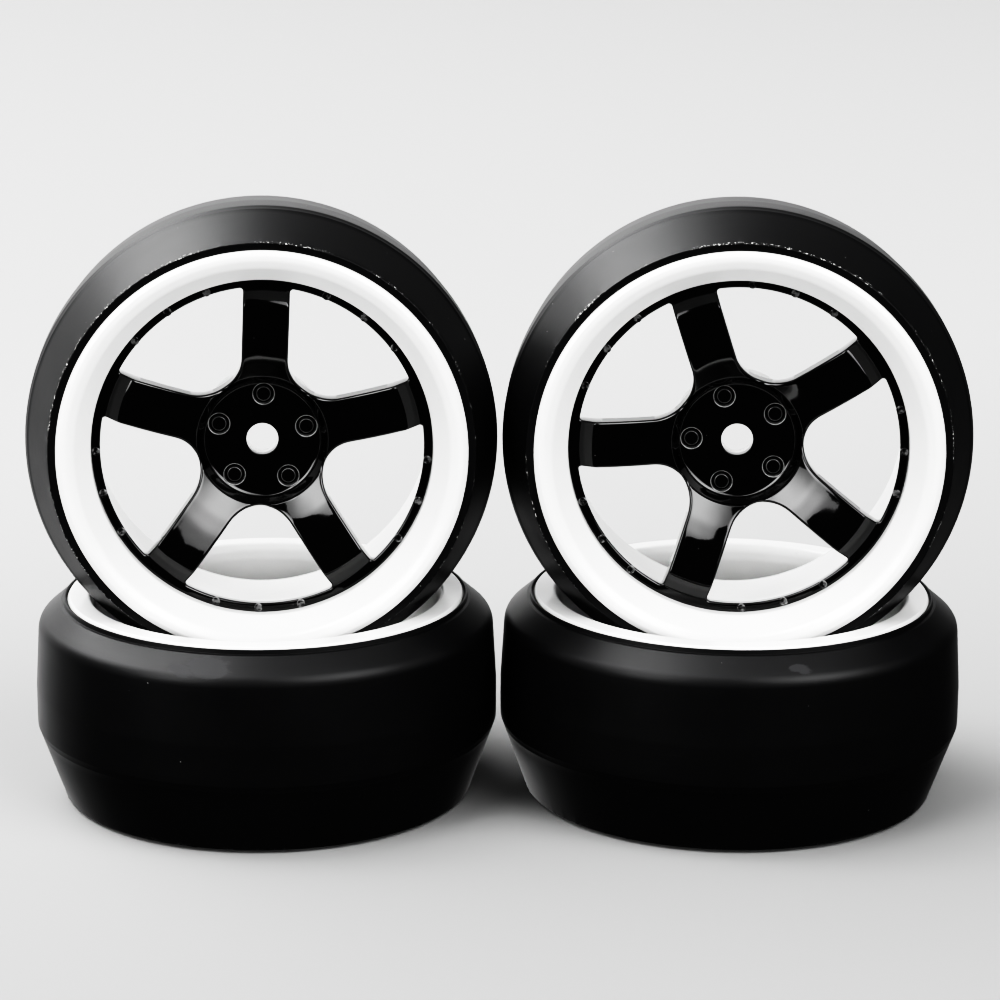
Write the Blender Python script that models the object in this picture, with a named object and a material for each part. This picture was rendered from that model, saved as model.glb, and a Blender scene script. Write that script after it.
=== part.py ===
"""Set of four drift car wheels, stacked as they are displayed.

Two wheels lie face down side by side, and one wheel stands upright in the open back of each.
The constants are in millimetres and degrees; the scene is in metres, with +Z up and -Y at the front.
In a wheel's own frame the axis is Z: depth 0 is the front plane of the lip, and depth WIDTH is the rear.
"""

import math

import bmesh
import bpy
from mathutils import Matrix, Vector

MM = 0.001
GAP = 0.3  # left between two pieces that touch on the real wheel
SIDES = 32  # flats round the tyre and the rim
DISC_SIDES = 30  # flats round the spoke disc
HUB_SIDES = 24  # flats round the hex hub
SMALL_SIDES = 12  # flats round a lug stud and its recess
SMOOTH_ANGLE = 35.0  # an edge that turns less than this is shaded smooth

# Tyre
WIDTH = 27.0
TYRE_RADIUS = 30.5
FACE_CORNER_RADIUS = 30.35
FACE_CORNER_DEPTH = 10.1
FACE_RADIUS = 26.95  # outside of the narrow flat next to the rim, front and rear
FACE_DEPTH = 0.75
CROWN = (11.0, 15.0)  # depths between which the tread keeps its full radius
SHOULDER_RADIUS = 29.95
SHOULDER_DEPTH = 22.7
SHOULDER_ROUND = (29.1, 24.4)
REAR_FACE_DEPTH = 26.2
RIB = (11.0, 16.0)  # depths of the rib inside the tyre

# Rim
FLANGE_RADIUS = 26.0
FLANGE_MOUTH_RADIUS = 22.9
BARREL_RADIUS = 22.4
CHANNEL_RADIUS = 24.0
LIP_FLAT = (24.9, 25.4)  # radii of the flat ring that a face-down wheel rests on
LIP_EDGE_DEPTH = 0.6  # where the lip's slope meets its outside
DISH = ((23.8, 0.7), (22.25, 3.2))
SEAT_RADIUS = 21.8
SEAT_FRONT_DEPTH = 3.9  # where the dish turns into the straight seat
SEAT_DEPTH = 8.0  # where the spoke disc's ring meets the shoulder behind it
SEAT_SHOULDER_RADIUS = 21.0
SEAT_SHOULDER_BACK_DEPTH = 8.8
BARREL_FRONT_DEPTH = 10.2
BARREL_BACK_DEPTH = 25.8  # where the barrel widens to the flange's mouth
FLANGE_THICKNESS = 2.0
FLANGE_BEVEL = 0.4
CHANNEL_SLOPE = 1.0  # depth that a side of the channel takes down to its floor

# Spoke disc
SPOKES = 5
SPOKE_WIDTH = 6.1
CROTCH_RADIUS = 4.9
RING_INNER_RADIUS = 20.6
RING_DEPTH = 5.5
SPOKE_CREST = (18.5, 4.6)  # where a spoke stands highest, just inside the ring
SPOKE_FOOT_RADIUS = 8.4  # where the spokes' slope drops into the hub's well
SPOKE_SAG = 4.2  # how much deeper the foot is than the crest
SPOKE_SLOPE_SHARE = 0.4  # of the sag: a straight slope; the rest is a parabola
SPOKE_FACE_RADII = (SPOKE_FOOT_RADIUS, 10.5, 13.0, 15.7)  # bends in the hollow face
SPOKE_BACK_RADII = (18.5, 14.5, 11.0, 9.2)
SPOKE_THICKNESS = 2.3
RING_STEP = 0.2  # how far the ring's flat reaches inside its windows' arc
WELL_RADIUS = 7.5
HUB_DEPTH = 10.6
HUB_THICKNESS = 1.6
BORE_RADIUS = 2.05

# Lug studs and their recesses
LUG_CIRCLE_RADIUS = 5.9
LUG_RECESS_RADIUS = 1.475
LUG_RECESS_DEPTH = 0.9
STUD_RADIUS = 1.0
STUD_LENGTH = 0.5

# Hex hub
HUB_BOSS_RADIUS = 8.2
HUB_BOSS_LENGTH = 4.9
HEX_ACROSS_FLATS = 12.3
HEX_DEPTH = 3.9

# Placing: the spin is the angle of the first spoke, measured in the wheel's own frame
BASE_OFFSET = 30.65  # from the middle of the set to the axis of a wheel that lies down
BASE_SPINS = {"left": 18.0, "right": 54.0}
TOP_OFFSET = 30.8
TOP_SETBACK = -1.8
TOP_LEAN = -2.0  # the top leans back
TOP_YAWS = {"left": 3.3, "right": -3.1}
PERCH_GAP = 0.55  # left under a standing tyre where it rests on the lower wheel's flange
TOP_SPINS = {"left": -87.8, "right": -107.3}
SIDE_SIGNS = {"left": -1, "right": 1}

FINISHES = {
    "hard_black_plastic": ((0.018, 0.018, 0.019, 1.0), 0.42),
    "white_plastic": ((0.86, 0.86, 0.85, 1.0), 0.16),
    "gloss_black_plastic": ((0.004, 0.004, 0.004, 1.0), 0.06),
}


def clear_scene():
    for obj in list(bpy.data.objects):
        bpy.data.objects.remove(obj, do_unlink=True)


def finish(name):
    """The named material, made the first time it is asked for."""
    material = bpy.data.materials.get(name)
    if material:
        return material
    color, roughness = FINISHES[name]
    material = bpy.data.materials.new(name)
    material.use_nodes = True
    shader = material.node_tree.nodes["Principled BSDF"]
    shader.inputs["Base Color"].default_value = color
    shader.inputs["Roughness"].default_value = roughness
    shader.inputs["Metallic"].default_value = 0.0
    material.diffuse_color = color
    return material


def mesh_from(bm, name):
    """Closes off a bmesh as a mesh in metres, with its faces out and its curved parts smooth."""
    bmesh.ops.recalc_face_normals(bm, faces=bm.faces)
    bmesh.ops.scale(bm, vec=(MM, MM, MM), verts=bm.verts)
    mesh = bpy.data.meshes.new(name)
    bm.to_mesh(mesh)
    bm.free()
    mesh.shade_smooth()
    mesh.set_sharp_from_angle(angle=math.radians(SMOOTH_ANGLE))
    return mesh


def turned_mesh(name, profile, sides=SIDES):
    """A ring: the closed profile of (radius, depth) points, spun round the axis."""
    bm = bmesh.new()
    points = [bm.verts.new((radius, 0, depth)) for radius, depth in profile]
    edges = [bm.edges.new(pair) for pair in zip(points, points[1:] + points[:1])]
    bmesh.ops.spin(bm, geom=points + edges, cent=(0, 0, 0), axis=(0, 0, 1),
                   angle=math.tau, steps=sides, use_merge=True)
    return mesh_from(bm, name)


def add_prism(bm, outline, low, high):
    """Adds an upright prism between two depths to a bmesh."""
    face = bm.faces.new([bm.verts.new((x, y, low)) for x, y in outline])
    raised = bmesh.ops.extrude_face_region(bm, geom=[face])["geom"]
    corners = [item for item in raised if isinstance(item, bmesh.types.BMVert)]
    bmesh.ops.translate(bm, vec=(0, 0, high - low), verts=corners)


def arc(centre, radius, start, end, steps):
    """Points along an arc; the angles are in radians."""
    angles = [start + (end - start) * step / steps for step in range(steps + 1)]
    return [(centre[0] + radius * math.cos(angle), centre[1] + radius * math.sin(angle)) for angle in angles]


def circle(centre, radius, sides):
    return arc(centre, radius, 0.0, math.tau * (1 - 1 / sides), sides - 1)


def turn_points(points, angle):
    c, s = math.cos(angle), math.sin(angle)
    return [(c * x - s * y, s * x + c * y) for x, y in points]


def cut_mesh(name, mesh, cutters):
    """The mesh with the closed bodies of the bmesh `cutters` taken out of it."""
    body = bpy.data.objects.new(name + "_body", mesh)
    tool = bpy.data.objects.new(name + "_cutter", mesh_from(cutters, name + "_cutter"))
    tool.display_type = "WIRE"
    tool.hide_render = True
    for obj in (body, tool):
        bpy.context.scene.collection.objects.link(obj)
    boolean = body.modifiers.new("cut", "BOOLEAN")
    boolean.operation = "DIFFERENCE"
    boolean.solver = "EXACT"
    boolean.object = tool
    graph = bpy.context.evaluated_depsgraph_get()
    result = bpy.data.meshes.new_from_object(body.evaluated_get(graph))
    result.name = name
    for obj in (body, tool):
        bpy.data.objects.remove(obj, do_unlink=True)
    return result


def tyre_outside():
    """The tyre's outer profile, from the rim at the front to the rim at the rear."""
    mouth = FLANGE_RADIUS + GAP
    return [
        (mouth, FACE_DEPTH),
        (FACE_RADIUS, FACE_DEPTH),
        (FACE_CORNER_RADIUS, FACE_CORNER_DEPTH),
        (TYRE_RADIUS, CROWN[0]),
        (TYRE_RADIUS, CROWN[1]),
        (SHOULDER_RADIUS, SHOULDER_DEPTH),
        SHOULDER_ROUND,
        (FACE_RADIUS, REAR_FACE_DEPTH),
        (mouth, REAR_FACE_DEPTH + GAP),
    ]


def tyre_mesh():
    mouth = FLANGE_RADIUS + GAP
    rib_radius = CHANNEL_RADIUS + GAP
    inside = [(mouth, RIB[1]), (rib_radius, RIB[1]), (rib_radius, RIB[0]), (mouth, RIB[0])]
    return turned_mesh("tyre", tyre_outside() + inside)


def rim_mesh():
    front = [
        (FLANGE_RADIUS, FLANGE_THICKNESS + GAP),
        (FLANGE_RADIUS, LIP_EDGE_DEPTH),
        (LIP_FLAT[1], 0.0),
        (LIP_FLAT[0], 0.0),
        *DISH,
        (SEAT_RADIUS, SEAT_FRONT_DEPTH),
        (SEAT_RADIUS, SEAT_DEPTH),
    ]
    barrel = [
        (SEAT_SHOULDER_RADIUS, SEAT_DEPTH),
        (SEAT_SHOULDER_RADIUS, SEAT_SHOULDER_BACK_DEPTH),
        (BARREL_RADIUS, BARREL_FRONT_DEPTH),
        (BARREL_RADIUS, BARREL_BACK_DEPTH),
        (FLANGE_MOUTH_RADIUS, WIDTH),
    ]
    rear = [
        (FLANGE_RADIUS - FLANGE_BEVEL, WIDTH),
        (FLANGE_RADIUS, WIDTH - FLANGE_BEVEL),
        (FLANGE_RADIUS, WIDTH - FLANGE_THICKNESS),
        (CHANNEL_RADIUS, WIDTH - FLANGE_THICKNESS - CHANNEL_SLOPE),
        (CHANNEL_RADIUS, FLANGE_THICKNESS + GAP + CHANNEL_SLOPE),
    ]
    return turned_mesh("rim", front + barrel + rear)


def spoke_depth(radius):
    """Depth of a spoke's face: a hollow curve that flattens out towards the crest."""
    crest_radius, crest_depth = SPOKE_CREST
    way = (crest_radius - radius) / (crest_radius - SPOKE_FOOT_RADIUS)
    curve = SPOKE_SLOPE_SHARE * way + (1 - SPOKE_SLOPE_SHARE) * way * way
    return crest_depth + SPOKE_SAG * curve


def disc_profile():
    """Half section of the spoke disc: hub plate, well, hollow spoke face, ring, and the back of each."""
    ring_outer = SEAT_RADIUS - GAP
    ring_flat = RING_INNER_RADIUS - RING_STEP
    hub_back = HUB_DEPTH + HUB_THICKNESS
    front = [(BORE_RADIUS, HUB_DEPTH), (WELL_RADIUS, HUB_DEPTH)]
    front += [(radius, spoke_depth(radius)) for radius in SPOKE_FACE_RADII]
    front += [SPOKE_CREST, (ring_flat, RING_DEPTH), (ring_outer, RING_DEPTH)]
    back = [(ring_outer, SEAT_DEPTH - GAP), (ring_flat, SEAT_DEPTH - GAP)]
    back += [(radius, spoke_depth(radius) + SPOKE_THICKNESS) for radius in SPOKE_BACK_RADII]
    back += [(HUB_BOSS_RADIUS, hub_back), (BORE_RADIUS, hub_back)]
    return front + back


def window_outline():
    """Gap between two spokes, centred on +X: a round crotch, straight sides, and an arc along the ring."""
    half_pitch = math.pi / SPOKES
    half_width = SPOKE_WIDTH / 2
    crotch_centre = ((half_width + CROTCH_RADIUS) / math.sin(half_pitch), 0.0)
    tangent = math.pi / 2 + half_pitch
    half_mouth = half_pitch - math.asin(half_width / RING_INNER_RADIUS)
    outer = arc((0.0, 0.0), RING_INNER_RADIUS, -half_mouth, half_mouth, 6)
    crotch = arc(crotch_centre, CROTCH_RADIUS, tangent, math.tau - tangent, 6)
    return outer + crotch


def disc_mesh():
    cutters = bmesh.new()
    for spoke in range(SPOKES):
        angle = math.tau * spoke / SPOKES
        window = turn_points(window_outline(), angle + math.pi / SPOKES)
        add_prism(cutters, window, 0.0, WIDTH)
        recess = circle((LUG_CIRCLE_RADIUS, 0.0), LUG_RECESS_RADIUS, SMALL_SIDES)
        add_prism(cutters, turn_points(recess, angle), 0.0, HUB_DEPTH + LUG_RECESS_DEPTH)
    return cut_mesh("spoke_disc", turned_mesh("disc_blank", disc_profile(), DISC_SIDES), cutters)


def hex_hub_mesh():
    front = HUB_DEPTH + HUB_THICKNESS + GAP
    rear = front + HUB_BOSS_LENGTH
    blank = turned_mesh("hub_blank", [
        (BORE_RADIUS, front), (HUB_BOSS_RADIUS, front), (HUB_BOSS_RADIUS, rear), (BORE_RADIUS, rear),
    ], HUB_SIDES)
    cutter = bmesh.new()
    corner_radius = HEX_ACROSS_FLATS / 2 / math.cos(math.pi / 6)
    add_prism(cutter, circle((0.0, 0.0), corner_radius, 6), rear - HEX_DEPTH, rear + 1.0)
    return cut_mesh("hex_hub", blank, cutter)


def stud_mesh():
    bm = bmesh.new()
    back = HUB_DEPTH + LUG_RECESS_DEPTH - GAP
    add_prism(bm, circle((0.0, 0.0), STUD_RADIUS, SMALL_SIDES), back - STUD_LENGTH, back)
    return mesh_from(bm, "lug_stud")


def perch_height():
    """Height of a standing wheel's axis over the rear plane of the wheel it stands in.

    The tyre rests on the inner edge of the rear flange, so each point of its profile crosses that
    circle along a chord, and the point that needs the most height decides.
    """
    heights = []
    for radius, depth in tyre_outside():
        forward = TOP_SETBACK + depth - WIDTH / 2
        half_chord_squared = FLANGE_MOUTH_RADIUS ** 2 - forward ** 2
        heights.append(math.sqrt((radius + PERCH_GAP) ** 2 - half_chord_squared))
    return max(heights)


def base_placement(side):
    """A wheel that lies face down."""
    spin = Matrix.Rotation(math.radians(BASE_SPINS[side]), 4, "Z")
    return Matrix.Translation((SIDE_SIGNS[side] * BASE_OFFSET * MM, 0, 0)) @ spin


def top_placement(side):
    """A wheel that stands upright with its face to the front."""
    centre = Vector((SIDE_SIGNS[side] * TOP_OFFSET, TOP_SETBACK, WIDTH + perch_height()))
    yaw = Matrix.Rotation(math.radians(TOP_YAWS[side]), 4, "Z")
    lean = Matrix.Rotation(math.radians(TOP_LEAN - 90), 4, "X")
    spin = Matrix.Rotation(math.radians(TOP_SPINS[side]), 4, "Z")
    middle_to_front = Matrix.Translation((0, 0, -WIDTH / 2 * MM))
    return Matrix.Translation(centre * MM) @ yaw @ lean @ spin @ middle_to_front


def add_piece(name, mesh, material_name, axis):
    piece = bpy.data.objects.new(name, mesh)
    bpy.context.scene.collection.objects.link(piece)
    if not mesh.materials:
        mesh.materials.append(finish(material_name))
    piece.parent = axis
    return piece


def add_wheel(name, placement, meshes):
    """One wheel: an empty on its axis at the lip's front plane, with the pieces parented to it."""
    axis = bpy.data.objects.new(name + "_axis", None)
    bpy.context.scene.collection.objects.link(axis)
    axis.matrix_world = placement
    add_piece(name + "_tyre", meshes["tyre"], "hard_black_plastic", axis)
    add_piece(name + "_rim", meshes["rim"], "white_plastic", axis)
    add_piece(name + "_spoke_disc", meshes["disc"], "gloss_black_plastic", axis)
    add_piece(name + "_hex_hub", meshes["hub"], "white_plastic", axis)
    for number in range(SPOKES):
        stud = add_piece(f"{name}_lug_stud_{number + 1}", meshes["stud"], "gloss_black_plastic", axis)
        angle = math.tau * number / SPOKES
        reach = LUG_CIRCLE_RADIUS * MM
        stud.location = (reach * math.cos(angle), reach * math.sin(angle), 0)


def main():
    clear_scene()
    meshes = {
        "tyre": tyre_mesh(),
        "rim": rim_mesh(),
        "disc": disc_mesh(),
        "hub": hex_hub_mesh(),
        "stud": stud_mesh(),
    }
    for side in SIDE_SIGNS:
        add_wheel(side + "_base", base_placement(side), meshes)
        add_wheel(side + "_top", top_placement(side), meshes)


main()
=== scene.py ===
"""Looks of the drift car wheel set: four wheels with hard tyres, white rims and gloss black spoke discs.

Lengths are in millimetres and angles in degrees until a mesh is placed, and then in metres.
In a wheel's own frame the axis is Z: depth 0 is the front plane of the lip, and depth 27 is the rear.
"""

import math
import random

import bmesh
import bpy
import numpy as np
from mathutils import Matrix, Vector


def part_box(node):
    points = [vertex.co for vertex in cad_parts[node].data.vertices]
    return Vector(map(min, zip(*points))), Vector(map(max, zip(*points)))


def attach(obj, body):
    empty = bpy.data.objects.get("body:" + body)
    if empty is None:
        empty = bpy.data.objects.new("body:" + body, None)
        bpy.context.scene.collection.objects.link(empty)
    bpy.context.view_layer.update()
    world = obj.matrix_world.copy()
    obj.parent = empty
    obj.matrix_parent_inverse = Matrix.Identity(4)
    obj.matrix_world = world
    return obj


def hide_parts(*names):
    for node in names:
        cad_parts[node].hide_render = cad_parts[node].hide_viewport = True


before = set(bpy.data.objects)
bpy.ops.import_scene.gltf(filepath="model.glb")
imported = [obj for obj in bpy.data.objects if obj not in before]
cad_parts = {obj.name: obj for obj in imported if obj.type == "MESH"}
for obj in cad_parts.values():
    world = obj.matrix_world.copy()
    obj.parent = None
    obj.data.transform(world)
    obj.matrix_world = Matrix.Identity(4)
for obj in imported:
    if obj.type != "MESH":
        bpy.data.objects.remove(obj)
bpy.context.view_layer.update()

MM = 0.001
WHEELS = ("left_base", "right_base", "left_top", "right_top")

NEAR_AXIS = 0.0001

# Shared sizes of a wheel
WIDTH = 27.0
SPOKES = 5
HALF_SECTOR = 180 / SPOKES  # from a spoke's middle to a window's middle
STUD_CIRCLE = 5.9
STUD_FRONT = 10.7
STUD_BACK = 11.2
SEAT_RADIUS = 21.72  # wall of the rim round the disc
SEAT_DEPTH = 7.72  # shoulder of the rim behind the disc

# Tyre
TYRE_STEPS = 512
MOUTH_RADIUS = 26.03
FACE_EDGE_RADIUS = 26.93
TREAD_RADIUS = 30.35
RIB_RADIUS = 24.1  # the rib inside the tyre that holds it on the rim
RIB_FRONT = 11.0
RIB_BACK = 16.0
PARTING_DEPTH = 9.2
PARTING_HEIGHT = 0.012
PARTING_HALF_WIDTH = 0.035
TRIM_WAVES = (31, 53, 87, 131)  # waves round the trimmed edge
TRIM_HEIGHT = 0.022
TRIM_WIDTH = 0.09
BURRS = 26
BURR_TURN = 0.009  # half the width of a burr, in radians
TYRE_MARKS = {  # rub marks, lighter in part as painted sheen of a dent: (angle, radius, depth, size)
    "left_base": [(-120, 28.4, 24.9, 3.4), (-127, 29.0, 24.5, 2.0)],
    "right_base": [(-131, 28.6, 24.8, 1.6)],
    "left_top": [(200, 28.6, 5.4, 0.9)],
    "right_top": [],
}
# How much of its pale burrs each tyre shows
TYRE_FLASH = {"left_base": 0.1, "right_base": 0.1, "left_top": 1.0, "right_top": 1.0}

# Rim
RIM_STEPS = 320
RIM_RADIUS = 26.0
BARREL_RADIUS = 22.4
SHOULDER_RADIUS = 21.0  # inside of the shoulder that the disc rests on
GROOVE_RADIUS = 24.0  # bottom of the groove for the tyre's rib

# Spoke disc
SPOKE_WIDTH = 6.1
CROTCH_RADIUS = 4.9
RING_RADIUS = 20.6
RING_DEPTH = 5.5
DISC_RADIUS = 21.7
DISC_BACK = 7.7
HUB_DEPTH = 10.6
HUB_BACK = 12.2
BORE_RADIUS = 2.05
FACE_ROUND = 0.36  # rounding of a spoke's front edges
BACK_ROUND = 0.14
SIDE_DRAFT = 0.09
RING_DRAFT = 0.22
CORNER_ROUND = 0.4  # where a spoke's side meets the ring
SLOPE_START = 17.4  # where a spoke's outer end begins to slope back to the ring
HALF_COLUMNS = 10  # from a spoke's middle to its edge
LEAST_STEP = 0.02  # between two rows of points
RECESS_RADIUS = 1.32
RECESS_DEPTH = 0.9
MOUTH_ROUND = 0.15
STUD_RADIUS = 0.95
STUD_ROUND = 0.14
BOLT_CIRCLE = 21.12
BOLT_RADIUS = 0.55
BOLT_TURNS = (-15, 0, 15)  # from the middle of a window

# Hex hub
BOSS_RADIUS = 8.2
BOSS_REAR = 17.4
HEX_ACROSS = 12.3  # across the flats
HEX_FLOOR = 13.5

# Studio, in metres
FLOOR_HALF = 6.0
LIGHT_AIM = Vector((0.0, 0.0, 0.04))
SOFTBOXES = {  # azimuth, elevation, distance, size, radiance, share left in the corners, seen in gloss
    "right_softbox": (46, 40, 2.5, (2.2, 2.25), 4.1, 0.3, True),
    "left_softbox": (-49, 30, 2.5, (1.35, 2.0), 4.2, 0.35, True),
    "key_softbox": (-122, 47, 2.2, (2.6, 1.6), 3.7, 0.45, True),
    "left_top_softbox": (-72, 64, 2.2, (1.7, 1.1), 3.4, 0.5, True),
    "overhead_softbox": (-40, 84, 2.0, (2.2, 1.3), 0.9, 0.6, True),
    "front_fill": (0, 10, 2.0, (1.6, 0.5), 4.5, 0.5, False),
}


# Outlines

def arc(centre, radius, start, end, steps):
    """Points along an arc; the angles are in degrees."""
    angles = np.radians(np.linspace(start, end, steps + 1))
    return [(centre[0] + radius * math.cos(a), centre[1] + radius * math.sin(a)) for a in angles]


def polar(radius, angle, depth):
    return radius * math.cos(angle), radius * math.sin(angle), depth


def fillet(before, corner, after, radius, steps):
    """Points of the arc that rounds off a corner between two straight lines."""
    before, corner, after = Vector(before), Vector(corner), Vector(after)
    back = (before - corner).normalized()
    on = (after - corner).normalized()
    half = back.angle(on) / 2
    most = 0.49 * min((before - corner).length, (after - corner).length)
    reach = min(radius / math.tan(half), most)
    radius = reach * math.tan(half)
    centre = corner + (back + on).normalized() * (radius / math.sin(half))
    first = corner + back * reach - centre
    last = corner + on * reach - centre
    return [tuple(centre + first.slerp(last, step / steps) * radius) for step in range(steps + 1)]


def rounded(corners, closed=True, steps=6):
    """A line of points from corners given as (radius, depth, rounding)."""
    points = []
    for number, (radius, depth, rounding) in enumerate(corners):
        is_end = not closed and number in (0, len(corners) - 1)
        if is_end or rounding == 0:
            points.append((radius, depth))
            continue
        before = corners[number - 1][:2]
        after = corners[(number + 1) % len(corners)][:2]
        points += fillet(before, (radius, depth), after, rounding, steps)
    return points


def divided(points, longest):
    """The closed outline with its long straight runs cut up."""
    shorter = []
    for (x, y), (next_x, next_y) in zip(points, points[1:] + points[:1]):
        pieces = max(1, math.ceil(math.dist((x, y), (next_x, next_y)) / longest))
        for step in range(pieces):
            share = step / pieces
            shorter.append((x + (next_x - x) * share, y + (next_y - y) * share))
    return shorter


# Meshes

def mesh_of(name, points, faces, sharp=40):
    """A closed mesh in millimetres, with its faces out and smooth up to the sharp angle."""
    bm = bmesh.new()
    corners = [bm.verts.new(point) for point in points]
    for face in faces:
        bm.faces.new([corners[index] for index in face])
    bmesh.ops.remove_doubles(bm, verts=bm.verts, dist=1e-4)
    bmesh.ops.dissolve_degenerate(bm, edges=bm.edges, dist=1e-5)
    bmesh.ops.recalc_face_normals(bm, faces=bm.faces)
    mesh = bpy.data.meshes.new(name)
    bm.to_mesh(mesh)
    bm.free()
    mesh.shade_smooth()
    mesh.set_sharp_from_angle(angle=math.radians(sharp))
    return mesh


def turned(name, outline, steps, shift=None):
    """A ring: the closed outline of (radius, depth) spun round the axis.

    shift(angles, radii, depths) gives how far each point moves outwards.
    """
    angles = np.linspace(0, math.tau, steps, endpoint=False)[:, None]
    radii = np.array([point[0] for point in outline])[None, :]
    depths = np.array([point[1] for point in outline])[None, :]
    away = radii + (shift(angles, radii, depths) if shift else 0.0 * angles)
    points = np.stack([away * np.cos(angles), away * np.sin(angles), depths + 0.0 * away], axis=2)
    rows = len(outline)
    faces = []
    for turn in range(steps):
        here, there = turn * rows, (turn + 1) % steps * rows
        for row in range(rows):
            after = (row + 1) % rows
            faces.append((here + row, there + row, there + after, here + after))
    return mesh_of(name, points.reshape(-1, 3).tolist(), faces)


def prism(name, outline, low, high):
    """The outline of (x, y) stretched from the low depth to the high one."""
    count = len(outline)
    points = [(x, y, depth) for depth in (low, high) for x, y in outline]
    faces = [tuple(range(count)), tuple(range(count, 2 * count))]
    for side in range(count):
        after = (side + 1) % count
        faces.append((side, after, count + after, count + side))
    return mesh_of(name, points, faces)


def around(radius, angle):
    """The shift from the axis to a place on a circle round it."""
    return Matrix.Translation(polar(radius, angle, 0))


def moved(mesh, matrix):
    copy = mesh.copy()
    copy.transform(matrix)
    return copy


def joined(name, meshes):
    """One mesh made of all of them."""
    bm = bmesh.new()
    for mesh in meshes:
        bm.from_mesh(mesh)
    result = bpy.data.meshes.new(name)
    bm.to_mesh(result)
    bm.free()
    return result


def cut(mesh, cutter):
    """The mesh with the cutter's closed bodies taken out of it."""
    body = bpy.data.objects.new(mesh.name + "_body", mesh)
    tool = bpy.data.objects.new(mesh.name + "_cutter", cutter)
    for obj in (body, tool):
        bpy.context.scene.collection.objects.link(obj)
    boolean = body.modifiers.new("cut", "BOOLEAN")
    boolean.operation = "DIFFERENCE"
    boolean.solver = "EXACT"
    boolean.object = tool
    graph = bpy.context.evaluated_depsgraph_get()
    result = bpy.data.meshes.new_from_object(body.evaluated_get(graph))
    result.name = mesh.name
    for obj in (body, tool):
        bpy.data.objects.remove(obj, do_unlink=True)
    result.shade_smooth()
    result.set_sharp_from_angle(angle=math.radians(40))
    return result


# Tyre

def with_parting_line(shell):
    """The outline with a fine ridge where its outer side passes the parting depth."""
    outline = []
    for first, last in zip(shell, shell[1:] + shell[:1]):
        outline.append(first)
        if first[1] < PARTING_DEPTH < last[1]:
            slope = (last[0] - first[0]) / (last[1] - first[1])
            for side, lift in [(-1, 0.0), (0, PARTING_HEIGHT), (1, 0.0)]:
                depth = PARTING_DEPTH + side * PARTING_HALF_WIDTH
                outline.append((first[0] + slope * (depth - first[1]) + lift, depth))
    return outline


def tyre_outline():
    shell = rounded([
        (MOUTH_RADIUS, 0.62, 0.06),
        (FACE_EDGE_RADIUS, 0.5, 0.1),
        (30.33, 10.05, 0.5),
        (TREAD_RADIUS, 10.9, 1.0),
        (TREAD_RADIUS, 15.2, 12.0),
        (29.86, 23.7, 2.2),
        (FACE_EDGE_RADIUS, 26.17, 0.12),
        (26.55, 26.25, 0.05),
        (26.45, 26.8, 0.06),
        (26.25, 26.8, 0.06),
        (26.2, 26.4, 0.03),
        (MOUTH_RADIUS, 26.42, 0.03),
        (MOUTH_RADIUS, RIB_BACK, 0.3),
        (RIB_RADIUS, RIB_BACK, 0.3),
        (RIB_RADIUS, RIB_FRONT, 0.3),
        (MOUTH_RADIUS, RIB_FRONT, 0.3),
    ])
    return divided(with_parting_line(shell), 1.1)


def smooth_noise(rng, angles, waves, height):
    """A smooth wave round the wheel, made of a few sines with drawn phases."""
    total = 0.0 * angles
    for wave in waves:
        total = total + np.sin(wave * angles + rng.uniform(0, math.tau)) / len(waves)
    return height * total


def tyre_mesh(seed):
    """The tyre, trimmed by hand along its front edge, so that the edge is a little ragged."""
    rng = random.Random(seed)
    burrs = [(rng.uniform(0, math.tau), rng.uniform(0.03, 0.13)) for _ in range(BURRS)]

    def trim(angles, radii, depths):
        ragged = smooth_noise(rng, angles, TRIM_WAVES, TRIM_HEIGHT)
        for place, height in burrs:
            away = np.abs((angles - place + math.pi) % math.tau - math.pi)
            ragged = ragged + height * np.exp(-(away / BURR_TURN) ** 2)
        on_edge = np.exp(-((radii - FACE_EDGE_RADIUS) / TRIM_WIDTH) ** 2) * (depths < 2.0)
        return ragged * on_edge

    return turned("tyre", tyre_outline(), TYRE_STEPS, trim)


# Rim

def rim_mesh():
    """The barrel: front lip, dish, wall and shoulder round the disc, rear lip and the tyre's groove."""
    outline = rounded([
        (RIM_RADIUS, 2.4, 0.0),
        (RIM_RADIUS, 0.35, 0.42),
        (25.35, 0.0, 0.5),
        (24.75, 0.0, 1.2),
        (23.75, 0.62, 1.6),
        (22.3, 3.0, 0.5),
        (SEAT_RADIUS, 3.9, 0.9),
        (SEAT_RADIUS, SEAT_DEPTH, 0.0),
        (SHOULDER_RADIUS, SEAT_DEPTH, 0.12),
        (SHOULDER_RADIUS, 8.9, 0.5),
        (BARREL_RADIUS, 10.3, 1.2),
        (BARREL_RADIUS, 24.9, 4.0),
        (22.6, 26.1, 2.0),
        (23.2, WIDTH, 0.6),
        (25.75, WIDTH, 0.22),
        (RIM_RADIUS, 26.6, 0.15),
        (RIM_RADIUS, 25.0, 0.0),
        (GROOVE_RADIUS, 24.0, 0.3),
        (GROOVE_RADIUS, 3.4, 0.3),
    ])
    return turned("rim", divided(outline, 2.0), RIM_STEPS)


# Spoke disc

def disc_front():
    """The front's section from the bore to the ring: plate, well, hollow spoke face, crest and ring."""
    return rounded([
        (BORE_RADIUS, HUB_DEPTH + 0.6, 0.0),
        (BORE_RADIUS, HUB_DEPTH, 0.12),
        (7.4, HUB_DEPTH, 0.95),
        (8.4, 8.8, 0.45),
        (11.0, 7.15, 9.0),
        (13.2, 6.08, 12.0),
        (15.8, 5.1, 14.0),
        (18.35, 4.4, 0.8),
        (20.35, RING_DEPTH, 0.35),
        (DISC_RADIUS, RING_DEPTH, 0.0),
    ], closed=False, steps=8)


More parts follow.
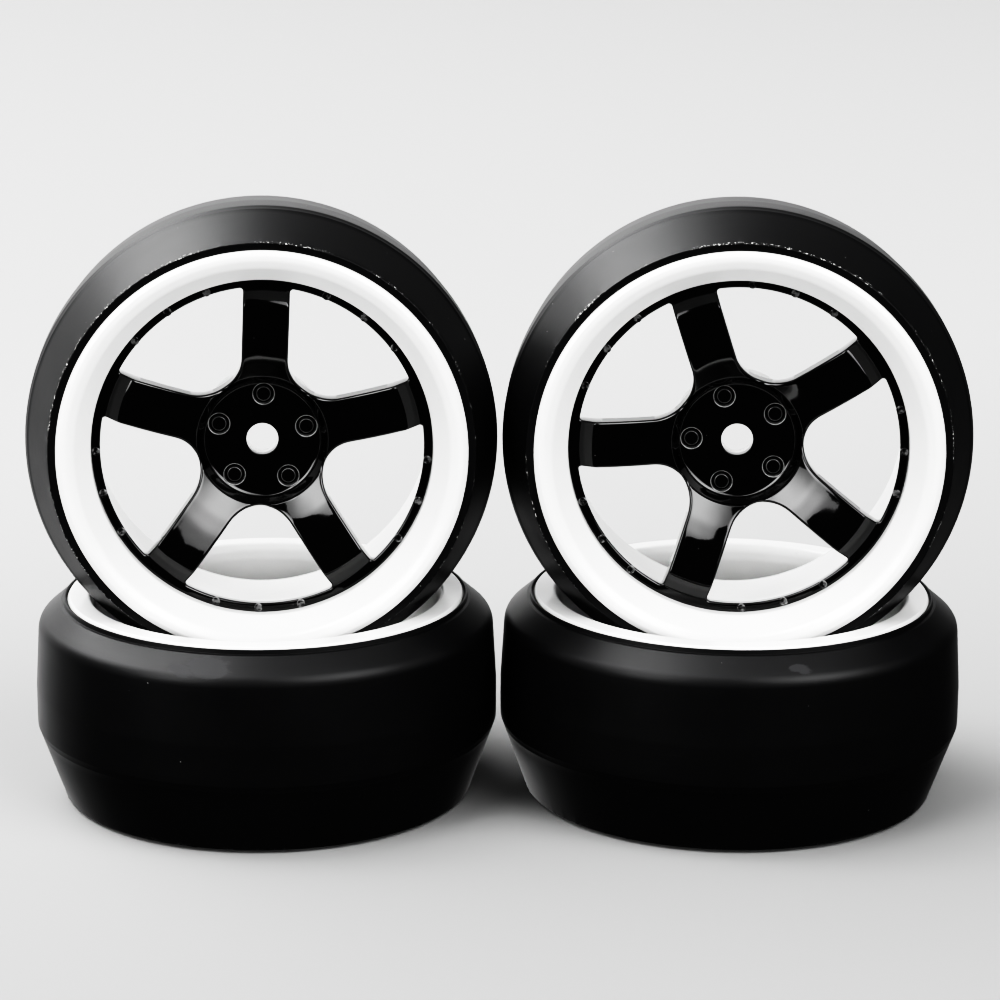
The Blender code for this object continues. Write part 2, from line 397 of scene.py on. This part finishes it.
def disc_rear():
    """The rear's section from the bore to the ring."""
    return rounded([
        (BORE_RADIUS, HUB_BACK - 0.6, 0.0),
        (BORE_RADIUS, HUB_BACK, 0.12),
        (8.25, HUB_BACK, 0.3),
        (9.2, 10.6, 0.9),
        (11.5, 9.2, 6.0),
        (14.5, 7.95, 8.0),
        (18.4, 6.95, 3.0),
        (20.35, DISC_BACK, 0.6),
        (DISC_RADIUS, DISC_BACK, 0.0),
    ], closed=False, steps=8)


def edge_sample(centre, radius, angle, ring):
    """A sample of a window's edge on an arc that curves round the window."""
    across, along = math.cos(angle), math.sin(angle)
    point = (centre[0] + radius * across, centre[1] + radius * along)
    return point, (-across, -along), ring


def window_edge():
    """Half a window's edge, beside the spoke on +X: (point, direction into the window, share of ring)."""
    half = SPOKE_WIDTH / 2
    sector = math.radians(HALF_SECTOR)
    reach = (half + CROTCH_RADIUS) / math.sin(sector)
    crotch = (reach * math.cos(sector), reach * math.sin(sector))
    corner_y = half + CORNER_ROUND
    corner_x = math.sqrt((RING_RADIUS - CORNER_ROUND) ** 2 - corner_y ** 2)
    ring_start = math.degrees(math.atan2(corner_y, corner_x))
    edge = []
    for angle in np.linspace(180 + HALF_SECTOR, 270, 19):
        edge.append(edge_sample(crotch, CROTCH_RADIUS, math.radians(angle), 0.0))
    hollow = np.linspace(crotch[0], SLOPE_START, 15)[1:]
    slope = np.linspace(SLOPE_START + 0.2, corner_x, 12)
    for x in [*hollow, *slope]:
        edge.append(((x, half), (0.0, 1.0), 0.0))
    for share in np.linspace(0, 1, 9)[1:]:
        angle = math.radians(-90 + (90 + ring_start) * share)
        edge.append(edge_sample((corner_x, corner_y), CORNER_ROUND, angle, share))
    for angle in np.radians(np.linspace(ring_start, HALF_SECTOR, 13)[1:]):
        edge.append(edge_sample((0.0, 0.0), RING_RADIUS, angle, 1.0))
    return edge


def inset(sample, distance):
    """The sample's point moved into the material, as (radius, angle)."""
    (x, y), (across, along), _ = sample
    x -= across * distance
    y -= along * distance
    return math.hypot(x, y), math.atan2(y, x)


def face_rows(section, edge, distances):
    """Two patches of rows over half a sector of the front or rear, and the depth at each edge sample.

    The first patch reaches from the bore to where the window meets the ring, and the second is the ring.
    """
    radii = [point[0] for point in section]
    depths = [point[1] for point in section]
    ends = [inset(sample, distance) for sample, distance in zip(edge, distances)]
    edge_depths = [float(np.interp(radius, radii, depths)) for radius, _ in ends]
    shares = [column / HALF_COLUMNS for column in range(HALF_COLUMNS + 1)]
    rows = []
    for radius, depth in section:
        if radius < ends[0][0] - LEAST_STEP:
            rows.append([polar(radius, math.radians(HALF_SECTOR) * share, depth) for share in shares])
    ring_start = max(number for number, sample in enumerate(edge) if sample[2] < 1.0) + 1
    for (radius, angle), depth in list(zip(ends, edge_depths))[:ring_start + 1]:
        rows.append([polar(radius, angle * share, depth) for share in shares])
    ring = ends[ring_start:]
    angles = [ring[0][1] * share for share in shares] + [angle for _, angle in ring[1:]]
    ring_rows = []
    for radius in np.linspace(ring[0][0], DISC_RADIUS, 5):
        depth = float(np.interp(radius, radii, depths))
        ring_rows.append([polar(radius, angle, depth) for angle in angles])
    return [rows, ring_rows], edge_depths


def wall_rows(edge, front_distances, front_depths, rear_distances, rear_depths):
    """Rows of points down the window's wall, one for each edge sample, with its edges rounded."""
    rows = []
    samples = zip(edge, front_distances, front_depths, rear_distances, rear_depths)
    for sample, front, top, rear, bottom in samples:
        row = []
        for turn in np.radians(np.linspace(0, 90, 8)):
            radius, angle = inset(sample, front - FACE_ROUND * math.sin(turn))
            row.append(polar(radius, angle, top + FACE_ROUND * (1 - math.cos(turn))))
        for turn in np.radians(np.linspace(90, 0, 5)):
            radius, angle = inset(sample, rear - BACK_ROUND * math.sin(turn))
            row.append(polar(radius, angle, bottom - BACK_ROUND * (1 - math.cos(turn))))
        rows.append(row)
    return rows


def disc_patches():
    """Patches of half a sector: front, rear, window wall, rim side and bore."""
    edge = window_edge()
    front_distances = [FACE_ROUND + SIDE_DRAFT * (1 - ring) for _, _, ring in edge]
    rear_distances = [BACK_ROUND + RING_DRAFT * ring for _, _, ring in edge]
    front, front_depths = face_rows(disc_front(), edge, front_distances)
    rear, rear_depths = face_rows(disc_rear(), edge, rear_distances)
    wall = wall_rows(edge, front_distances, front_depths, rear_distances, rear_depths)
    side = [front[1][-1], rear[1][-1]]
    bore = [front[0][0], rear[0][0]]
    return [*front, *rear, wall, side, bore]


def disc_shell():
    """The whole disc, from half a sector mirrored and turned round the axis."""
    points, faces = [], []
    for rows in disc_patches():
        for spoke in range(SPOKES):
            turn = Matrix.Rotation(math.tau * spoke / SPOKES, 3, "Z")
            for hand in (1, -1):
                start = len(points)
                width = len(rows[0])
                points += [turn @ Vector((x, hand * y, depth)) for row in rows for x, y, depth in row]
                for row in range(len(rows) - 1):
                    for column in range(width - 1):
                        corner = start + row * width + column
                        faces.append((corner, corner + 1, corner + width + 1, corner + width))
    return mesh_of("spoke_disc", points, faces, sharp=50)


def recess_outline():
    """Section of a recess cutter, with a rounded mouth."""
    mouth = arc((RECESS_RADIUS + MOUTH_ROUND, HUB_DEPTH + MOUTH_ROUND), MOUTH_ROUND, -90, -180, 6)
    above = HUB_DEPTH - 0.5
    floor = HUB_DEPTH + RECESS_DEPTH
    return [(NEAR_AXIS, above), (RECESS_RADIUS + MOUTH_ROUND, above), *mouth,
            (RECESS_RADIUS, floor), (NEAR_AXIS, floor)]


def disc_mesh():
    """The disc with its five recesses for the lug studs."""
    recess = turned("recess", recess_outline(), 48)
    recesses = [moved(recess, around(STUD_CIRCLE, math.tau * spoke / SPOKES)) for spoke in range(SPOKES)]
    return cut(disc_shell(), joined("recesses", recesses))


def ring_bolts_mesh():
    """Three small bolt heads on the ring in each window."""
    head = turned("head", rounded([
        (NEAR_AXIS, RING_DEPTH + 0.1, 0.0),
        (NEAR_AXIS, RING_DEPTH - 0.22, 0.0),
        (0.26, RING_DEPTH - 0.22, 0.05),
        (0.3, RING_DEPTH - 0.34, 0.05),
        (BOLT_RADIUS, RING_DEPTH - 0.3, 0.2),
        (BOLT_RADIUS, RING_DEPTH + 0.1, 0.0),
    ]), 32)
    heads = []
    for window in range(SPOKES):
        for turn in BOLT_TURNS:
            angle = math.radians((2 * window + 1) * HALF_SECTOR + turn)
            heads.append(moved(head, around(BOLT_CIRCLE, angle)))
    mesh = joined("ring_bolts", heads)
    mesh.set_sharp_from_angle(angle=math.radians(40))
    return mesh


def stud_mesh():
    """A lug stud with a slightly domed end, standing in its recess."""
    rear = HUB_DEPTH + RECESS_DEPTH - 0.01
    return turned("lug_stud", rounded([
        (NEAR_AXIS, STUD_FRONT - 0.02, 0.0),
        (STUD_RADIUS, STUD_FRONT + 0.02, STUD_ROUND),
        (STUD_RADIUS, rear, 0.0),
        (NEAR_AXIS, rear, 0.0),
    ]), 48)


# Hex hub

def hub_mesh():
    """The boss behind the disc, with its bore and the hexagon socket that the axle's hex sits in."""
    front = HUB_BACK + 0.02
    boss = turned("hex_hub", rounded([
        (BORE_RADIUS, front, 0.05),
        (BOSS_RADIUS, front, 0.05),
        (BOSS_RADIUS, BOSS_REAR, 0.35),
        (BORE_RADIUS, BOSS_REAR, 0.05),
    ]), 128)
    corners = arc((0, 0), HEX_ACROSS / 2 / math.cos(math.pi / 6), 0, 300, 5)
    return cut(boss, prism("socket", corners, HEX_FLOOR, BOSS_REAR + 1))


# Placing

def wheel_place(wheel):
    """The wheel's own frame in the row frame, in metres, read from where its lug studs are."""
    centres = []
    for number in range(1, SPOKES + 1):
        low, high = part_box(f"{wheel}_lug_stud_{number}")
        centres.append((low + high) / 2)
    middle = sum(centres, Vector()) / SPOKES
    across = (centres[0] - middle).normalized()
    rearward = (centres[0] - middle).cross(centres[1] - middle).normalized()
    upward = rearward.cross(across)
    origin = middle - rearward * ((STUD_FRONT + STUD_BACK) / 2 * MM)
    turn = Matrix((across, upward, rearward)).transposed().to_4x4()
    return Matrix.Translation(origin) @ turn


def add_piece(name, mesh, place, material, wheel, nodes):
    """Places a copy of the mesh; each point keeps its place on the wheel, which the finishes read."""
    mesh = mesh.copy()
    points = np.empty(len(mesh.vertices) * 3, np.float32)
    mesh.vertices.foreach_get("co", points)
    mesh.attributes.new("wheel_point", "FLOAT_VECTOR", "POINT").data.foreach_set("vector", points)
    mesh.transform(place @ Matrix.Scale(MM, 4))
    mesh.name = name
    mesh.materials.clear()
    mesh.materials.append(material)
    piece = bpy.data.objects.new(name, mesh)
    bpy.context.scene.collection.objects.link(piece)
    normals = piece.modifiers.new("even_shading", "WEIGHTED_NORMAL")
    normals.keep_sharp = True
    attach(piece, wheel + "_wheel")
    if nodes:
        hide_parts(*nodes)
    return piece


# Finishes

class Value:
    """A number that varies over a surface; arithmetic on it adds Math nodes."""

    def __init__(self, finish, socket):
        self.finish = finish
        self.socket = socket

    def math(self, operation, *terms):
        return self.finish.math(operation, self, *terms)

    def __add__(self, other):
        return self.math("ADD", other)

    def __radd__(self, other):
        return self.math("ADD", other)

    def __sub__(self, other):
        return self.math("SUBTRACT", other)

    def __rsub__(self, other):
        return self.finish.math("SUBTRACT", other, self)

    def __mul__(self, other):
        return self.math("MULTIPLY", other)

    def __rmul__(self, other):
        return self.math("MULTIPLY", other)

    def __lt__(self, other):
        return self.math("LESS_THAN", other)

    def __abs__(self):
        return self.math("ABSOLUTE")


class Graph:
    """Adds nodes to a node tree."""

    def __init__(self, tree):
        self.tree = tree

    def join(self, node, sockets):
        """Links or sets sockets of the node; None leaves a socket as it is."""
        for name, value in sockets.items():
            if isinstance(value, Value):
                self.tree.links.new(value.socket, node.inputs[name])
            elif value is not None:
                node.inputs[name].default_value = value

    def add(self, kind, settings, sockets, output=0):
        """Adds a node: its settings first, and then the values or links of its sockets."""
        node = self.tree.nodes.new("ShaderNode" + kind)
        for name, value in settings.items():
            setattr(node, name, value)
        self.join(node, sockets)
        return Value(self, node.outputs[output])

    def math(self, operation, *terms):
        """A number worked out by a Math node."""
        return self.add("Math", {"operation": operation}, dict(enumerate(terms)))

    def mix(self, share, first, second):
        """A colour between two others."""
        settings = {"data_type": "RGBA", "blend_type": "MIX"}
        return self.add("Mix", settings, {0: share, 6: first, 7: second}, output=2)

    def noise(self, place, scale, detail=2.0, roughness=0.5):
        sockets = {"Vector": place, "Scale": scale, "Detail": detail, "Roughness": roughness}
        return self.add("TexNoise", {}, sockets)

    def fade(self, value, low, high, first=0.0, last=1.0):
        """first below low, last above high, and smooth between them."""
        ends = {"From Min": low, "From Max": high, "To Min": first, "To Max": last}
        return self.add("MapRange", {"interpolation_type": "SMOOTHSTEP"}, {"Value": value, **ends})

    def shifted(self, point, offset):
        return self.add("VectorMath", {"operation": "ADD"}, {0: point, 1: offset})

    def stretched(self, point, factors):
        return self.add("VectorMath", {"operation": "MULTIPLY"}, {0: point, 1: factors})

    def length(self, vector):
        return self.add("VectorMath", {"operation": "LENGTH"}, {0: vector}, output="Value")

    def part(self, vector, axis):
        return self.add("SeparateXYZ", {}, {0: vector}, output=axis)

    def specks(self, place, scale, low, high):
        """Dust: 1 in a small spot round each seed point, and 0 away from it."""
        sockets = {"Vector": place, "Scale": scale}
        away = self.add("TexVoronoi", {"feature": "F1"}, sockets, output="Distance")
        return self.fade(away, low, high)


class Finish(Graph):
    """One material, built round its Principled shader."""

    def __init__(self, name, **sockets):
        self.material = bpy.data.materials.new(name)
        self.material.use_nodes = True
        super().__init__(self.material.node_tree)
        self.shader = self.tree.nodes["Principled BSDF"]
        self.surface(**sockets)

    def wheel_point(self):
        """Where a point is on its wheel, in millimetres."""
        settings = {"attribute_type": "GEOMETRY", "attribute_name": "wheel_point"}
        return self.add("Attribute", settings, {}, output="Vector")

    def radius(self, point):
        """How far a point is from the wheel's axis."""
        return self.length(self.stretched(point, (1.0, 1.0, 0.0)))

    def bump(self, height, distance, strength=1.0):
        sockets = {"Height": height, "Distance": distance, "Strength": strength}
        return self.add("Bump", {}, sockets, output="Normal")

    def surface(self, **sockets):
        """Sets sockets of the shader, named with _ for a space, and gives the material."""
        self.join(self.shader, {name.replace("_", " "): value for name, value in sockets.items()})
        return self.material


def near(value, middle, width):
    """1 at the middle, falling to 0 at width away from it."""
    away = abs(value - middle)
    return away.finish.fade(away, width, width * 0.35)


def rub_mark_with_sheen(finish, point, angle, radius, depth, size):
    """A smeared rub mark on a tyre, a lopsided patch with a torn edge: rougher, set in by bump, and
    lighter, which is partly painted sheen of a dent.
    """
    turn = math.radians(angle)
    middle = (radius * math.cos(turn), radius * math.sin(turn), depth)
    away = finish.shifted(point, tuple(-part for part in middle))
    torn = finish.noise(finish.stretched(away, (0.5, 0.5, 1.4)), 1.0, 3.0, 0.6)
    distance = finish.length(finish.stretched(away, (1.0, 1.0, 2.6))) + 3.4 * (torn - 0.5)
    return finish.fade(distance, size, size * 0.72)


def hard_black(name, seed, marks, flash):
    """Hard black tyre plastic: satin, with faint scuffs, dust, pale burrs on its edge, and rub marks
    whose lighter colour is partly painted sheen of a dent.
    """
    finish = Finish(name, IOR=1.5)
    point = finish.wheel_point()
    radius = finish.radius(point)
    depth = finish.part(point, "Z")
    here = finish.shifted(point, (seed * 41.0, seed * 17.0, 0.0))
    cloud = finish.noise(here, 0.09, 3.0, 0.6)
    grain = finish.noise(here, 5.5, 3.0, 0.65)
    streaks = finish.noise(finish.stretched(here, (0.16, 0.16, 3.2)), 1.0, 4.0, 0.7)
    scuffs = finish.fade(streaks, 0.62, 0.78) * finish.fade(cloud, 0.5, 0.66)

    lot = finish.noise(here, 0.8, 1.0)
    dust = finish.specks(here, 0.34, 0.03, 0.015) * finish.fade(lot, 0.52, 0.56)
    burr_noise = finish.noise(here, 2.6, 2.0, 0.7)
    burr_place = finish.noise(here, 0.14, 2.0)
    on_edge = near(radius, FACE_EDGE_RADIUS + 0.05, 0.16) * (depth < 1.4)
    in_runs = finish.fade(burr_noise, 0.56, 0.63) * finish.fade(burr_place, 0.44, 0.58)
    burrs = flash * on_edge * in_runs
    pale = finish.math("MAXIMUM", burrs, dust * 0.7)

    rubbed_and_sheen = scuffs
    for angle, mark_radius, mark_depth, size in marks:
        mark = rub_mark_with_sheen(finish, point, angle, mark_radius, mark_depth, size)
        rubbed_and_sheen = finish.math("MAXIMUM", rubbed_and_sheen, mark)

    dark = finish.mix(cloud, (0.0045, 0.0045, 0.005, 1.0), (0.008, 0.008, 0.0085, 1.0))
    # Painted sheen: the rub marks' lighter colour partly stands in for light on a dent.
    worn_and_sheen = finish.mix(rubbed_and_sheen * 0.5, dark, (0.05, 0.05, 0.052, 1.0))
    color = finish.mix(pale, worn_and_sheen, (0.55, 0.55, 0.54, 1.0))
    roughness = 0.37 + 0.1 * cloud + 0.05 * grain + 0.12 * rubbed_and_sheen + 0.3 * pale
    height = 0.6 * grain + 0.4 * streaks - 0.5 * rubbed_and_sheen + 2.0 * burrs
    return finish.surface(Base_Color=color, Roughness=roughness, Normal=finish.bump(height, 0.000012))


def gloss_white(name, seed, gloss):
    """Glossy white moulded plastic with a faint ripple and a few handling marks."""
    finish = Finish(name, IOR=1.5)
    here = finish.shifted(finish.wheel_point(), (seed * 29.0, 0.0, seed * 13.0))
    ripple = finish.noise(here, 0.35, 2.0)
    peel = finish.noise(here, 2.4, 2.0)
    cloud = finish.noise(here, 0.12, 3.0, 0.6)
    smudge = finish.fade(finish.noise(here, 0.7, 4.0, 0.7), 0.64, 0.72)
    color = finish.mix(cloud, (0.86, 0.86, 0.855, 1.0), (0.90, 0.90, 0.895, 1.0))
    color = finish.mix(smudge * 0.12, color, (0.45, 0.45, 0.44, 1.0))
    roughness = gloss + 0.06 * cloud + 0.1 * smudge
    height = ripple + 0.2 * peel
    return finish.surface(Base_Color=color, Roughness=roughness, Normal=finish.bump(height, 0.00003))


def stud_distance(finish, point):
    """How far a point is from the axis of the nearest lug stud, in millimetres."""
    angle = finish.math("ARCTAN2", finish.part(point, "Y"), finish.part(point, "X"))
    turn = finish.math("PINGPONG", angle, math.pi / SPOKES)
    radius = finish.radius(point)
    along = radius * finish.math("COSINE", turn) - STUD_CIRCLE
    across = radius * finish.math("SINE", turn)
    return finish.math("SQRT", along * along + across * across)


def gloss_black(name, seed, glint_patch_share=0.0):
    """Mirror-bright black paint with a painted highlight: light grey bands on the lug recess mouths and
    stud edges stand in for their glints; its slow ripple bends reflections.

    With a patch share, the painted highlight lies in grey patches all over instead.
    """
    finish = Finish(name, IOR=1.7)
    point = finish.wheel_point()
    here = finish.shifted(point, (seed * 23.0, seed * 7.0, 0.0))
    ripple = finish.noise(here, 0.28, 1.0, 0.4)
    fine = finish.noise(here, 3.0, 2.0)
    haze = finish.noise(here, 0.2, 3.0, 0.6)
    dark = finish.mix(haze, (0.0012, 0.0012, 0.0012, 1.0), (0.0025, 0.0025, 0.0026, 1.0))

    from_stud = stud_distance(finish, point)
    mouth = near(from_stud, RECESS_RADIUS + 0.4 * MOUTH_ROUND, 0.12)
    stud_edge = near(from_stud, STUD_RADIUS - 0.4 * STUD_ROUND, 0.1)
    in_hub = finish.fade(finish.part(point, "Z"), HUB_DEPTH - 0.2, HUB_DEPTH)
    patchy = finish.fade(finish.noise(here, 0.9, 2.0), 0.3, 0.6, 0.55, 1.0)
    # Painted highlight: light grey bands on the recess mouths and stud edges stand in for their glint
    # rings.
    painted_glint = (0.6 * mouth + 0.3 * stud_edge) * in_hub * patchy
    # Painted glints on the ring bolts: grey patches all over.
    if glint_patch_share:
        painted_glint = glint_patch_share * finish.fade(finish.noise(here, 1.6, 2.0), 0.42, 0.6)

    lot = finish.noise(here, 1.1, 1.0)
    dust = finish.specks(here, 0.5, 0.035, 0.018) * finish.fade(lot, 0.54, 0.58)
    color = finish.mix(finish.math("MAXIMUM", painted_glint, dust * 0.6), dark, (0.4, 0.4, 0.4, 1.0))
    roughness = 0.035 + 0.04 * haze + 0.3 * dust + 0.3 * painted_glint
    height = ripple + 0.02 * fine
    return finish.surface(Base_Color=color, Roughness=roughness, Normal=finish.bump(height, 0.00005))


# Wheels

def add_wheel(wheel, seed, meshes):
    """One wheel's pieces, each listed with its finish, slot and the nodes that it stands for; the slot is
    not used.
    """
    place = wheel_place(wheel)
    tyre_black = hard_black(wheel + "_tyre_black", seed, TYRE_MARKS[wheel], TYRE_FLASH[wheel])
    rim_white = gloss_white(wheel + "_rim_white", seed, 0.12)
    hub_white = gloss_white(wheel + "_hub_white", seed + 0.5, 0.28)
    disc_black = gloss_black(wheel + "_gloss_black", seed)
    # The ring bolts' grey patches are painted glints.
    bolt_black = gloss_black(wheel + "_bolt_black", seed, glint_patch_share=0.35)
    pieces = [
        ("drift_tyre", tyre_mesh(seed), tyre_black, "hard_black_plastic", ["tyre"]),
        ("dish_rim", meshes["rim"], rim_white, "white_plastic", ["rim"]),
        ("five_spoke_disc", meshes["disc"], disc_black, "gloss_black_plastic", ["spoke_disc"]),
        ("ring_bolts", meshes["bolts"], bolt_black, "gloss_black_plastic", []),
        ("axle_hub", meshes["hub"], hub_white, "white_plastic", ["hex_hub"]),
    ]
    for number in range(1, SPOKES + 1):
        stud = moved(meshes["stud"], around(STUD_CIRCLE, math.tau * (number - 1) / SPOKES))
        nodes = [f"lug_stud_{number}"]
        pieces.append((f"wheel_stud_{number}", stud, disc_black, "gloss_black_plastic", nodes))
    for name, mesh, material, slot, nodes in pieces:
        replaced = [f"{wheel}_{node}" for node in nodes]
        add_piece(f"{wheel}_{name}", mesh, place, material, wheel, replaced)


# Studio

def add_floor():
    """A pale floor with painted shade: its colour is a little darker at the front and the right."""
    bm = bmesh.new()
    bmesh.ops.create_grid(bm, x_segments=1, y_segments=1, size=FLOOR_HALF)
    mesh = bpy.data.meshes.new("floor")
    bm.to_mesh(mesh)
    bm.free()
    floor = bpy.data.objects.new("floor", mesh)
    bpy.context.scene.collection.objects.link(floor)
    finish = Finish("pale_floor", Roughness=0.9, IOR=1.2)
    place = finish.add("TexCoord", {}, {}, output="Object")
    cloud = finish.noise(place, 3.0, 2.0)
    rearward = finish.part(place, "Y") - 0.5 * finish.part(place, "X") + 0.02 * cloud
    # Painted shade: the floor's colour darkens towards the front and the right.
    lit = finish.fade(rearward, -0.14, 0.3)
    color = finish.mix(lit, (0.31, 0.31, 0.31, 1.0), (0.45, 0.45, 0.45, 1.0))
    mesh.materials.append(finish.surface(Base_Color=color))
    floor.visible_glossy = False


def add_softbox(name, azimuth, elevation, distance, size, radiance, edge, glints):
    """A rectangular soft light; azimuth 0 is at the front and 90 at the right.

    The cloth is brightest in the middle, and edge is the share that is left in its corners.
    A light without glints isn't seen in glossy finishes.
    """
    turn, rise = math.radians(azimuth), math.radians(elevation)
    level = math.cos(rise)
    towards = Vector((math.sin(turn) * level, -math.cos(turn) * level, math.sin(rise)))
    light = bpy.data.lights.new(name, "AREA")
    light.shape = "RECTANGLE"
    light.size, light.size_y = size
    light.energy = radiance * math.pi * size[0] * size[1]
    light.use_nodes = True
    graph = Graph(light.node_tree)
    cloth = graph.add("NewGeometry", {}, {}, output="Parametric")
    flat = graph.stretched(cloth, (1.0, 1.0, 0.0))
    off_middle = graph.length(graph.shifted(flat, (-0.5, -0.5, 0.0)))
    glow = graph.fade(off_middle, 0.05, 0.68, 1.0, edge)
    graph.join(light.node_tree.nodes["Emission"], {"Strength": glow})
    lamp = bpy.data.objects.new(name, light)
    bpy.context.scene.collection.objects.link(lamp)
    lamp.location = LIGHT_AIM + towards * distance
    lamp.rotation_euler = towards.to_track_quat("Z", "Y").to_euler()
    lamp.visible_camera = False
    lamp.visible_glossy = glints


def add_world():
    """A dim room that is bright only low down, behind the wheels and to their left."""
    world = bpy.data.worlds.new("studio")
    bpy.context.scene.world = world
    world.use_nodes = True
    graph = Graph(world.node_tree)
    towards = graph.add("TexCoord", {}, {}, output="Generated")
    rearward = 0.95 * graph.part(towards, "Y") - 0.3 * graph.part(towards, "X")
    glow = graph.fade(rearward, 0.5, 0.95, 0.045, 0.85)
    graph.join(world.node_tree.nodes["Background"], {"Color": (1.0, 1.0, 1.0, 1.0), "Strength": glow})


def add_camera():
    data = bpy.data.cameras.new("camera")
    data.sensor_width = 36.0
    data.lens = 122.1
    data.clip_start = 0.01
    data.clip_end = 50.0
    camera = bpy.data.objects.new("camera", data)
    bpy.context.scene.collection.objects.link(camera)
    camera.location = (-0.0065, -0.430, 0.1521)
    camera.rotation_euler = (math.radians(90 - 14.71), math.radians(-0.27), math.radians(-0.81))
    bpy.context.scene.camera = camera


def develop():
    """A plain display with the tones of a hard, bright print: deep blacks and lifted whites."""
    settings = bpy.context.scene.view_settings
    settings.view_transform = "Standard"
    settings.use_curve_mapping = True
    curve = settings.curve_mapping.curves[3]
    tones = [(0.0, 0.0), (0.02, 0.004), (0.05, 0.018), (0.1, 0.085), (0.2, 0.33), (0.36, 0.64),
             (0.55, 0.8), (0.75, 0.9), (1.0, 0.97)]
    curve.points[0].location = tones[0]
    curve.points[1].location = tones[-1]
    for tone in tones[1:-1]:
        curve.points.new(*tone)
    settings.curve_mapping.update()


def main():
    develop()
    add_camera()
    add_floor()
    add_world()
    for name, values in SOFTBOXES.items():
        add_softbox(name, *values)
    meshes = {
        "rim": rim_mesh(),
        "disc": disc_mesh(),
        "bolts": ring_bolts_mesh(),
        "hub": hub_mesh(),
        "stud": stud_mesh(),
    }
    for seed, wheel in enumerate(WHEELS):
        add_wheel(wheel, seed + 1, meshes)


main()
